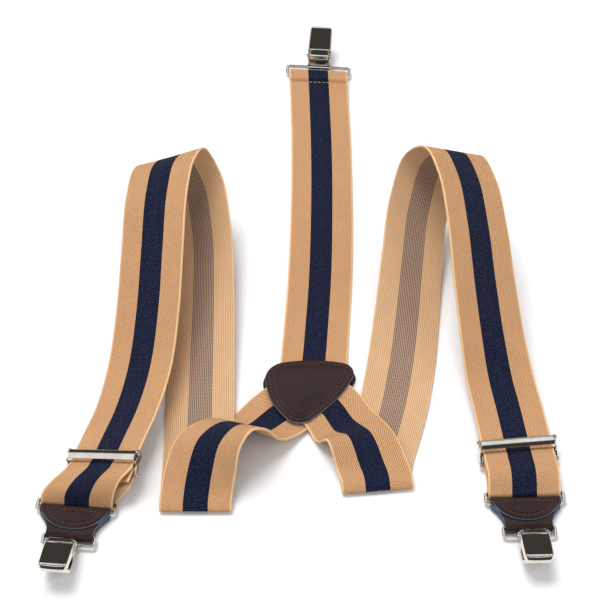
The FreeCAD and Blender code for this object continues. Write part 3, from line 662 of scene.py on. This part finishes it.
# the tails: from under the ring back up to the adjuster, and the sewn hem on its bar
STUB_X, HEM_TURN = TAIL_X + 7.2, 1.65      # where the tail meets its hem; the hem's turn radius
for side in ("left", "right"):
    hinge = side + "_adjuster_lever_flip"
    x = -np.array(JOINTS[side + "_adjuster_slide"]["axis"])
    y = -np.array(JOINTS[hinge]["axis"])
    z = np.cross(x, y)
    here = (joint_point(hinge) - x * HINGE_X - z * HINGE_Z, x, y, z)
    turn = wrap_frames(ENDS[side], WRAP, START[side], STOP[side])
    first = [f[-1] for f in turn]
    stub = to_world(here, [STUB_X, 0, TAIL_Z - HEM_TURN])
    last = (stub, -x, y, -z)
    tail_piece, tail_length = webbing_mesh(side + "_tail", line_frames(first, last, 16), None)
    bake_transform(tail_piece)
    # hem: in along the underside, round the tail bar and back over itself
    bar = np.array([TAIL_X, 0, TAIL_Z])
    half_turn = np.radians(np.linspace(-90, -270, 19))
    path = ([np.array([STUB_X - 0.6 * k, 0, TAIL_Z - HEM_TURN]) for k in range(12)]
            + [bar + HEM_TURN * np.array([math.cos(t), 0, math.sin(t)]) for t in half_turn]
            + [bar + np.array([0.6 * k, 0, HEM_TURN - 0.03 * k]) for k in range(1, 11)])
    centre = to_world(here, np.array(path))
    run = unit(np.gradient(centre, axis=0))
    width = np.repeat(y[None], len(path), 0)
    hem = (centre, run, width, np.cross(run, width))
    hem_piece, hem_length = webbing_mesh(side + "_hem", hem, side + "_adjuster")
    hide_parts(side + "_tail_hem")
    strap_length[side] += tail_length + hem_length


# ---------------------------------------------------------------- leather patches

def patch_outline(grow):
    """The patch's rounded shield, as arcs from corner to corner."""
    wide, deep = PATCH_WIDE + 2 * grow, PATCH_DEEP + 2 * grow

    def at(x, y):
        return (x * wide, grow + y * deep)

    arcs = [(at(0.0, 0.0), at(0.34, -0.04)), (at(0.455, -0.12), at(0.455, -0.29)),
            (at(0.28, -0.62), at(0.03, -0.90)), (at(-0.14, -1.0), at(-0.30, -0.905)),
            (at(-0.44, -0.68), at(-0.515, -0.37)), (at(-0.485, -0.15), at(-0.34, -0.04))]
    points, here = [], arcs[-1][1]
    for mid, far in arcs:
        points += arc3(here, mid, far, 30)
        here = far
    return resample(points, 220)


def soften(outline, passes):
    """The closed outline with its corners eased, a little more with each pass."""
    for _ in range(passes):
        outline = outline + 0.5 * ((np.roll(outline, 1, 0) + np.roll(outline, -1, 0)) / 2 - outline)
    return outline


def eased_inset(outline, distance):
    """Inset that grows smoother the further in it goes."""
    return soften(inset(outline, distance), int(4 + distance * 6))


def puff(distance, dome):
    """How far a stuffed or folded piece has risen at this distance from its edge."""
    return dome * (1 - math.exp(-distance / 2.6))


def leather_slab(name, outline, base, top, body, place, dome, groove=(), crown=0.0, lift=None):
    """A piece of leather cut to an outline: raw walls, rolled-over top edge, puffed middle and
    shallow grooves where stitching pulls it down."""
    steps = [(0.28, base), (0.0, base + 0.15), (0.0, top - 0.42), (0.10, top - 0.16),
             (0.32, top - 0.03)]
    insets = [0.7, 1.1, 1.5, 1.9, 2.3, 2.7, 3.1, 3.5, 3.9, 4.3, 4.7, 5.2, 5.8]
    rings = []
    for d, z in steps:
        ring = inset(outline, d)
        rings.append(np.column_stack([ring, np.full(len(ring), z)]))
    middle = outline.mean(0)
    for d in insets:
        ring = eased_inset(outline, d)
        z = top + puff(d, dome)
        for where, deep in groove:
            z -= deep * math.exp(-((d - where) / 0.42) ** 2)
        rings.append(np.column_stack([ring, np.full(len(ring), z)]))
    last = rings[-1]
    for f in (0.82, 0.64, 0.46, 0.28, 0.12):
        ring = middle + (last[:, :2] - middle) * f
        z = last[:, 2] + crown * (1 - f ** 2)
        rings.append(np.column_stack([ring, z]))
    rings = np.array(rings)
    if lift is not None:
        rings[..., 2] += lift(rings[..., 0])
    mats = [1, 1, 1, 0] + [0] * (len(rings) - 5)
    return loop_mesh(name, to_world(place, rings), mats, [M_LEATHER, M_EDGE], body)


PATCH_AT = np.array([6.0, -49.8, 0.0]) + SHIFT
PATCH = (PATCH_AT, np.array([1.0, 0, 0]), np.array([0, 1.0, 0]), np.array([0, 0, 1.0]))
ROW_OUTER, ROW_INNER = 1.9, 4.3            # how far in from the edge each row of stitches runs
FRONT_BASE, FRONT_TOP = 4.75, 6.2
front = patch_outline(0.0)
front_piece = leather_slab("patch_front_leather", front, FRONT_BASE, FRONT_TOP, "webbing", PATCH,
                           dome=0.55, groove=((ROW_OUTER, 0.28), (ROW_INNER, 0.26)), crown=1.3)
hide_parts("patch_front")
back_piece = leather_slab("patch_back_leather", patch_outline(BACK_PATCH_GROW), 0.0, 1.3, "webbing",
                          PATCH, dome=0.02)
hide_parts("patch_back")


def patch_row(name, distance, begin, finish):
    """Stitches along part of the patch's outline, by fraction of its length."""
    ring = eased_inset(front, distance)
    count, pitch = len(ring), 2.5
    pick = [int(round(k)) % count for k in np.linspace(begin * count, finish * count, 200)]
    line = np.column_stack([ring[pick], np.full(len(pick), FRONT_TOP + 0.08)])
    spots, runs = along_path(to_world(PATCH, line), pitch)
    return stitches(name, spots, runs, [PATCH[3]] * len(spots), "webbing", M_THREAD_RED,
                    length=pitch * 0.74, radius=0.24)


patch_row("patch_stitches_outer", ROW_OUTER, 0.0, 1.0)
patch_row("patch_stitches_right", ROW_INNER, 0.24, 0.54)
patch_row("patch_stitches_left", ROW_INNER, 0.66, 0.93)


# ---------------------------------------------------------------- leather tabs

def tab_side_line():
    """The folded strip's outer line seen from the side: round both wires, waisted in between."""
    loop, small = 2.7, 2.6                 # its outer radius round the strap's and the clip's ring
    ends_a = [(loop * math.cos(t), loop * math.sin(t))
              for t in np.radians(np.linspace(262, 92, 15))]
    top = [(TAB_PITCH * u, loop + (small - loop) * u - 0.5 * math.sin(math.pi * u))
           for u in np.linspace(0.03, 0.97, 18)]
    ends_b = [(TAB_PITCH + small * math.cos(t), small * math.sin(t))
              for t in np.radians(np.linspace(88, -88, 17))]
    low = [(px, -pz) for px, pz in reversed(top)]
    return np.array(ends_a + top + ends_b + low)


def tab_half(px):
    """Half the strip's width: full at the strap's ring, narrowing towards the clip's."""
    u = np.clip((px - 2.4) / (TAB_PITCH - 4.2), 0, 1)
    curve = TAB_HALF + (NECK_HALF - TAB_HALF) * (1 - (1 - u) ** 1.7)
    return np.where(px < 2.4, TAB_HALF, curve) - 0.2 * np.clip((px - TAB_PITCH + 1.8) / 4.4, 0, 1)


def tab_strip(side, place):
    """One strip of leather folded round both rings, with raw edges along its sides."""
    side_line, hide = tab_side_line(), 1.4
    reach = [np.array([np.clip(px, 0, TAB_PITCH) - px, -pz]) for px, pz in side_line]
    inward = [unit(r + 1e-9) for r in reach]
    columns = np.array([-1, -0.985, -0.95, -0.8, -0.6, -0.4, -0.2, 0,
                        0.2, 0.4, 0.6, 0.8, 0.95, 0.985, 1])
    shrink = 0.16 * np.exp(-(1 - np.abs(columns)) / 0.014)
    n, m = len(side_line), len(columns)
    verts = [(px + inward[i][0] * shrink[j], c * tab_half(px), pz + inward[i][1] * shrink[j])
             for i, (px, pz) in enumerate(side_line) for j, c in enumerate(columns)]
    faces, mats = [], []
    for i in range(n):
        k = (i + 1) % n
        for j in range(m - 1):
            faces.append((i * m + j, k * m + j, k * m + j + 1, i * m + j + 1))
            mats.append(0)
    for j, sign in ((0, -1), (m - 1, 1)):
        # raw side: an inner line one leather's thickness in, then a shadowed seam between layers
        inner, deep = [], []
        for i, (px, pz) in enumerate(side_line):
            depth = min(hide, np.hypot(*reach[i]) * 0.93)
            hx, hz = px + inward[i][0] * depth, pz + inward[i][1] * depth
            inner.append(len(verts))
            verts.append((hx, sign * (tab_half(hx) - 0.02), hz))
            deep.append(len(verts))
            verts.append((hx, sign * (tab_half(hx) - 0.9), hz * 0.9))
        walls = []
        for i in range(n):
            k = (i + 1) % n
            walls += [(i * m + j, k * m + j, inner[k], inner[i]),
                      (inner[i], inner[k], deep[k], deep[i])]
        walls.append(tuple(deep))
        faces += [wall if sign < 0 else wall[::-1] for wall in walls]
        mats += [1] * len(walls)
    strip = make_mesh(side + "_tab_strip", to_world(place, np.array(verts)), faces,
                      [M_LEATHER, M_EDGE], side + "_tab", face_mats=mats)
    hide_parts(side + "_tab_leather")


def tab_flap(side, place):
    """The D-shaped flap over the strip, with its row of stitches."""
    wide, drop, body = TAB_HALF, FLAP_DROP, side + "_tab"
    curve = [np.array([-0.9, 0.0]), np.array([-0.9, wide - 0.9])]
    curve += arc3((0, wide - 0.2), (drop * 0.66, wide * 0.70), (drop, 0), 26)
    curve += arc3((drop, 0), (drop * 0.66, -wide * 0.70), (0, -wide + 0.2), 26)
    curve += [np.array([0.0, -wide + 0.2]), np.array([-0.9, -wide + 0.9])]
    outline = soften(resample(curve, 200), 8)

    def lift(px):
        return 0.62 * np.clip(px / 5.0, 0, 1) - 0.02 * np.clip(px - 6, 0, 9)

    row, base, top, dome = 2.7, 1.42, 2.86, 0.25
    leather_slab(side + "_tab_flap", outline, base, top, body, place, dome=dome,
                 groove=((row, 0.24),), crown=0.10, lift=lift)
    line = eased_inset(outline, row)
    height = top + puff(row, dome) - 0.16 + lift(line[:, 0])
    line = np.column_stack([line, height])
    spots, runs = along_path(to_world(place, np.vstack([line, line[:1]])), 2.25)
    stitches(side + "_tab_stitches", spots, runs, [place[3]] * len(spots), body, M_THREAD_RED,
             length=1.7, radius=0.22)


for side in ("left", "right"):
    origin, x, y, z = ENDS[side]
    tab_place = (origin + x * RING_RISE, x, y, z)
    tab_strip(side, tab_place)
    tab_flap(side, tab_place)


# ---------------------------------------------------------------- clip levers

def lever_place(side):
    """The pitched frame of a clip, at its lever's pin."""
    bar, pin = joint_point(side + "_clip_swing"), joint_point(side + "_lever_flip")
    y = -np.array(JOINTS[side + "_lever_flip"]["axis"])
    reach = pin - bar
    turned = np.cross(y, reach)
    return pin, unit(reach + turned), y, unit(reach - turned)


def clip_lever(side):
    """Pressed lever: a shallow tray turned upside down, its walls sloping out from a flat top and
    its far corners rounded, on a rolled knuckle with a cam lobe."""
    place, body = lever_place(side), side + "_lever"
    long, half = LEVER_LONG, LEVER_HALF
    marks = [np.array([2.6, half]), np.array([10.0, half])]
    marks += arc3((long - 3.4, half - 0.2), (long - 0.9, half - 1.1), (long - 0.15, half - 3.4), 14)
    marks += arc3((long - 0.15, half - 3.4), (long, 0.0), (long - 0.15, 3.4 - half), 8)
    marks += arc3((long - 0.15, 3.4 - half), (long - 0.9, 1.1 - half), (long - 3.4, 0.2 - half), 14)
    marks += [np.array([long - 3.4, 0.2 - half]), np.array([10.0, -half]), np.array([2.6, -half])]
    outline = resample(marks, 260)

    def top(x):
        """Height of the flat top, faintly arched and turned down at the tip."""
        tip = np.clip((x - long + 2.4) / 2.4, 0, 1)
        return 2.35 + 0.12 * np.sin(np.pi * x / 24) - 0.45 * tip ** 2

    rings = []

    def ring(distance, height, scale=1.0, follow=True):
        line = inset(outline, distance)
        middle = line.mean(0)
        line = middle + (line - middle) * scale
        rings.append(np.column_stack([line, top(line[:, 0]) * follow + height]))

    # under the top, down inside the wall, round its rolled rim and up the outside
    ring(1.9, -0.85, 0.4)
    ring(1.9, -0.85)
    ring(1.1, -1.5)
    for distance, height in ((0.70, -0.28), (0.35, -0.42), (0.04, -0.28),
                             (0.00, 0.00), (0.12, 0.60)):
        ring(distance, height, follow=False)
    for distance, height in ((0.36, -0.80), (0.50, -0.40), (0.66, -0.16),
                             (0.84, -0.05), (1.06, 0.0)):
        ring(distance, height)
    for scale in (0.98, 0.95, 0.92, 0.89, 0.85, 0.8, 0.7, 0.5, 0.3, 0.08):
        ring(1.06, 0.0, scale)
    shell = loop_mesh(side + "_lever_shell", to_world(place, np.array(rings)),
                      [0] * (len(rings) - 1), [M_NICKEL], body)
    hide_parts(side + "_clip_lever")

    profile = arc3((3.4, 1.45), (3.3, 2.2), (2.2, 2.32), 5)
    profile += arc3((0.0, 2.3), (-1.63, 1.63), (-2.3, 0.0), 10)
    profile += arc3((-2.3, 0.0), (-2.0, -1.2), (-1.2, -2.0), 6)
    profile += [np.array([-1.0, -2.4])]
    profile += arc3((-0.6, -2.72), (0.3, -2.85), (1.1, -2.6), 5)
    profile += arc3((1.1, -2.6), (2.0, -1.1), (3.4, 1.45), 8)
    profile = resample(profile, 90)
    middle = profile.mean(0)
    slices = []
    for across, shrink in ((-5.6, 0.93), (-5.55, 0.97), (-5.4, 1.0),
                           (5.4, 1.0), (5.55, 0.97), (5.6, 0.93)):
        line = middle + (profile - middle) * shrink
        slices.append(np.column_stack([line[:, 0], np.full(len(line), across), line[:, 1]]))
    loop_mesh(side + "_lever_knuckle", to_world(place, np.array(slices)), [0] * (len(slices) - 1),
              [M_NICKEL], body)


for side in ("back", "left", "right"):
    clip_lever(side)


# ---------------------------------------------------------------- metal parts keep the CAD shapes

def dress(node, material):
    mesh = frame["nodes"][node].data
    mesh.materials.clear()
    mesh.materials.append(material)


for node in frame["nodes"]:
    if node.endswith("_pad"):
        dress(node, M_GRIP)
    elif "ring" in node or node.endswith(("_pin", "_bar")):
        dress(node, M_WIRE)
    elif "clip" in node or "adjuster" in node:
        dress(node, M_NICKEL)
    elif "strap" in node or "hem" in node:
        dress(node, M_FACE)
    else:
        dress(node, M_LEATHER)


# ---------------------------------------------------------------- table, light, camera

def paper():
    n = Nodes("paper_sweep")
    p = n.coords()
    spot_noise = n.noise(p, 900, 3)
    colour = n.mix(spot_noise, (0.86, 0.86, 0.86, 1), (0.90, 0.90, 0.90, 1))
    return n.principled(Base_Color=colour, Roughness=0.9, Normal=n.bump(spot_noise, 0.00002, 0.2),
                        Specular_IOR_Level=0.1)


bpy.ops.mesh.primitive_plane_add(size=5.0, location=(0, 0, 0))
floor = bpy.context.object
floor.name = "paper_floor"
floor.data.materials.append(paper())

scene = bpy.context.scene
world = bpy.data.worlds.new("studio")
scene.world = world
world.use_nodes = True
tree = world.node_tree
tree.nodes.clear()
out = tree.nodes.new("ShaderNodeOutputWorld")
back = tree.nodes.new("ShaderNodeBackground")
tree.links.new(back.outputs[0], out.inputs[0])
coord = tree.nodes.new("ShaderNodeTexCoord")
split = tree.nodes.new("ShaderNodeSeparateXYZ")
tree.links.new(coord.outputs["Generated"], split.inputs[0])


def world_range(value, lo, hi):
    node = tree.nodes.new("ShaderNodeMapRange")
    node.interpolation_type = "SMOOTHSTEP"
    tree.links.new(value, node.inputs[0])
    node.inputs[1].default_value, node.inputs[2].default_value = lo, hi
    return node.outputs[0]


def world_mix(factor, a, b):
    """Blend of two colours or sockets by a factor."""
    node = tree.nodes.new("ShaderNodeMix")
    node.data_type = "RGBA"
    for socket, value in zip((node.inputs[0], node.inputs[6], node.inputs[7]), (factor, a, b)):
        if isinstance(value, bpy.types.NodeSocket):
            tree.links.new(value, socket)
        else:
            socket.default_value = value
    return node.outputs[2]


# soft boxes all round at mid height; the room is dark low down and straight overhead
ROOM, BOX = (0.050, 0.046, 0.043, 1), (0.92, 0.93, 0.95, 1)
BOX_FOOT, BOX_HEAD = (0.44, 0.56), (0.855, 0.905)
height = split.outputs[2]
sky = world_mix(world_range(height, *BOX_FOOT), ROOM, BOX)
sky = world_mix(world_range(height, *BOX_HEAD), sky, ROOM)
tree.links.new(sky, back.inputs[0])
back.inputs[1].default_value = 1.12

for name, power, spread, toward in (("key", 2.2, 32, (0.20, -0.20, -1.0)),
                                    ("fill", 0.5, 60, (0.0, 0.75, -0.65))):
    sun = bpy.data.lights.new(name, "SUN")
    sun.energy, sun.angle = power, math.radians(spread)
    lamp = bpy.data.objects.new(name, sun)
    scene.collection.objects.link(lamp)
    lamp.rotation_euler = Vector(toward).to_track_quat("-Z", "Y").to_euler()
    lamp.visible_glossy = False

camera = bpy.data.cameras.new("camera")
camera.sensor_width, camera.lens = 36, 112.08
camera.clip_start, camera.clip_end = 0.05, 10
view = bpy.data.objects.new("camera", camera)
scene.collection.objects.link(view)
ELEVATION, AWAY = 45, 0.7071               # degrees, and metres back and up: 1 m in all
view.location = (SHIFT[0] * MM, -AWAY + SHIFT[1] * MM, AWAY)
view.rotation_euler = (math.radians(ELEVATION), 0, 0)
scene.camera = view
scene.view_settings.view_transform = "Standard"
scene.view_settings.look = "None"
scene.view_settings.exposure = 0.0
scene.view_settings.gamma = 1.0
